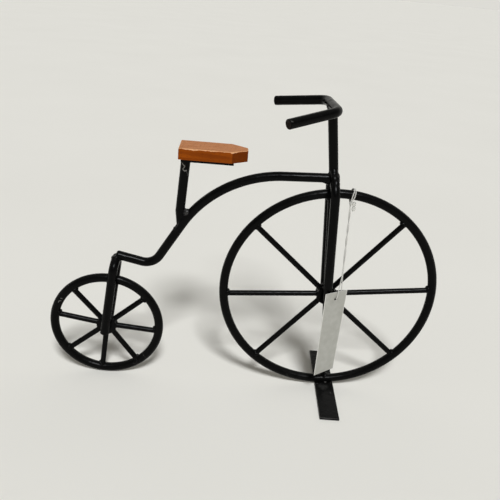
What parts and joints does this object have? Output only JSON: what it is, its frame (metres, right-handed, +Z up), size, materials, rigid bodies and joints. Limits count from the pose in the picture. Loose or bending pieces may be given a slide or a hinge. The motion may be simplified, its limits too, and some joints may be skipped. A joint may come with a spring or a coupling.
{
  "type": "high-wheel bicycle table ornament",
  "caption": "Table ornament shaped like a high-wheel bicycle, welded from black steel rod, with a wooden seat, a flat foot under the tall wheel and a turning rear wheel.",
  "frame": {"origin": "on the table, midway between the front of the tall wheel and the back of the small wheel, in the plane of the wheels", "axes": "+X forward, from the small wheel to the tall wheel; +Y to the rider's left; +Z up"},
  "size_m": [0.355, 0.1094, 0.2755],
  "materials": {
    "black_paint": "satin",
    "stained_wood": "satin",
    "tag_paper": "matte",
    "tag_string": "matte",
    "clear_plastic": "gloss"
  },
  "bodies": {
    "frame": {"backbone": "black_paint", "foot": "black_paint", "front_axle": "black_paint", "front_fork": "black_paint", "front_hub": "black_paint", "front_rim": "black_paint", "front_spokes": "black_paint", "handlebar": "black_paint", "rear_axle": "black_paint", "rear_fork": "black_paint", "seat": "stained_wood", "seat_plate": "black_paint", "seat_post": "black_paint", "stem": "black_paint", "tag": "tag_paper", "tag_lock": "clear_plastic", "tag_string": "tag_string"},
    "rear_wheel": {"rear_rim": "black_paint", "rear_spokes": "black_paint", "rear_hub": "black_paint"}
  },
  "joints": [
    {"name": "rear_wheel_spin", "type": "hinge", "parent": "frame", "child": "rear_wheel", "pos_m": [-0.125, 0, 0.0525], "axis": [0, 1, 0], "continuous": true}
  ]
}
